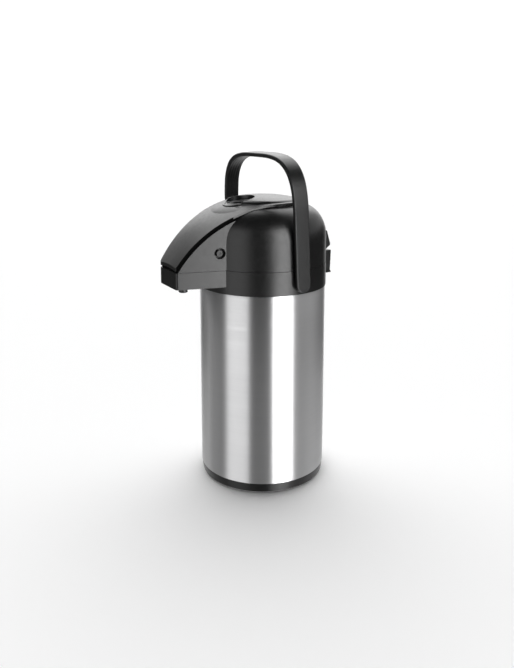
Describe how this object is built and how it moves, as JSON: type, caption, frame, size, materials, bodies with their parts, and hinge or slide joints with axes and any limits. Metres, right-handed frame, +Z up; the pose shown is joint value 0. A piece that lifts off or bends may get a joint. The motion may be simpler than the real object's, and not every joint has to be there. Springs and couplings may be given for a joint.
{
  "type": "thermal coffee airpot",
  "caption": "Upright insulated pump pot with a steel body, a hinged black pump lid with a push button on top, a pouring nose and a swinging carrying bail.",
  "frame": {"origin": "on the body axis at the underside of the foot pad", "axes": "+Z up along the body, -Y towards the pouring nose, +X to the right seen from the nose looking back"},
  "size_m": [0.162, 0.1995, 0.3764],
  "materials": {
    "brushed_steel": "fine circumferential brushing, satin",
    "plain_steel": "plain satin steel",
    "black_plastic": "fine satin grain",
    "button_plastic": "fine satin grain",
    "bail_plastic": "satin, slightly smoother than the lid",
    "inner_plastic": "plain moulded",
    "tube_plastic": "smooth translucent white",
    "silicone": "soft, milky",
    "bellows_rubber": "soft, milky",
    "foot_rubber": "matt"
  },
  "bodies": {
    "vessel": {"outer_shell": "brushed_steel", "inner_flask": "plain_steel", "shell_bottom": "plain_steel", "vacuum_port_cap": "plain_steel", "base_cover": "black_plastic", "anti_slip_pad": "foot_rubber", "collar": "black_plastic", "neck_clamp_ring": "inner_plastic", "neck_gasket": "silicone", "siphon_head": "inner_plastic", "siphon_tube": "tube_plastic", "delivery_tube": "tube_plastic", "spout_nozzle": "black_plastic", "nozzle_gasket": "silicone", "hinge_bracket": "black_plastic", "hinge_pin": "plain_steel", "hinge_screws": "plain_steel", "pivot_bush_left": "black_plastic", "pivot_bush_right": "black_plastic"},
    "lid": {"lid_shell": "black_plastic", "top_cover": "black_plastic", "lid_base_plate": "inner_plastic", "lid_screws": "plain_steel", "pump_base": "inner_plastic", "check_valve": "silicone", "lid_seal": "silicone", "bellows_clamp_ring": "inner_plastic", "bellows": "bellows_rubber", "return_spring": "plain_steel"},
    "button": {"push_button": "button_plastic", "button_plunger": "inner_plastic"},
    "lock": {"lock_dial": "button_plastic", "lock_cam": "inner_plastic"},
    "release_left": {"release_button_left": "button_plastic"},
    "release_right": {"release_button_right": "button_plastic"},
    "bail": {"carry_handle": "bail_plastic", "handle_clip_left": "plain_steel", "handle_clip_right": "plain_steel"}
  },
  "joints": [
    {"name": "bail_swing", "type": "hinge", "parent": "vessel", "child": "bail", "pos_m": [0, 0.005, 0.2383], "axis": [1, 0, 0], "range_deg": [-92, 87]},
    {"name": "lid_open", "type": "hinge", "parent": "vessel", "child": "lid", "pos_m": [0, 0.0772, 0.258], "axis": [-1, 0, 0], "range_deg": [0, 28]},
    {"name": "button_press", "type": "slide", "parent": "lid", "child": "button", "axis": [0, 0, -1], "range_m": [0, 0.018], "stiffness_N_per_m": 400, "springref_m": -0.01, "deforming": ["bellows", "return_spring"]},
    {"name": "lock_turn", "type": "hinge", "parent": "lid", "child": "lock", "pos_m": [0, -0.031, 0.3215], "axis": [0, -0.1564, 0.9877], "range_deg": [0, 60]},
    {"name": "release_left_press", "type": "slide", "parent": "lid", "child": "release_left", "axis": [1, 0, 0], "range_m": [0, 0.0025], "stiffness_N_per_m": 600, "springref_m": -0.001},
    {"name": "release_right_press", "type": "slide", "parent": "lid", "child": "release_right", "axis": [-1, 0, 0], "range_m": [0, 0.0025], "stiffness_N_per_m": 600, "springref_m": -0.001}
  ]
}
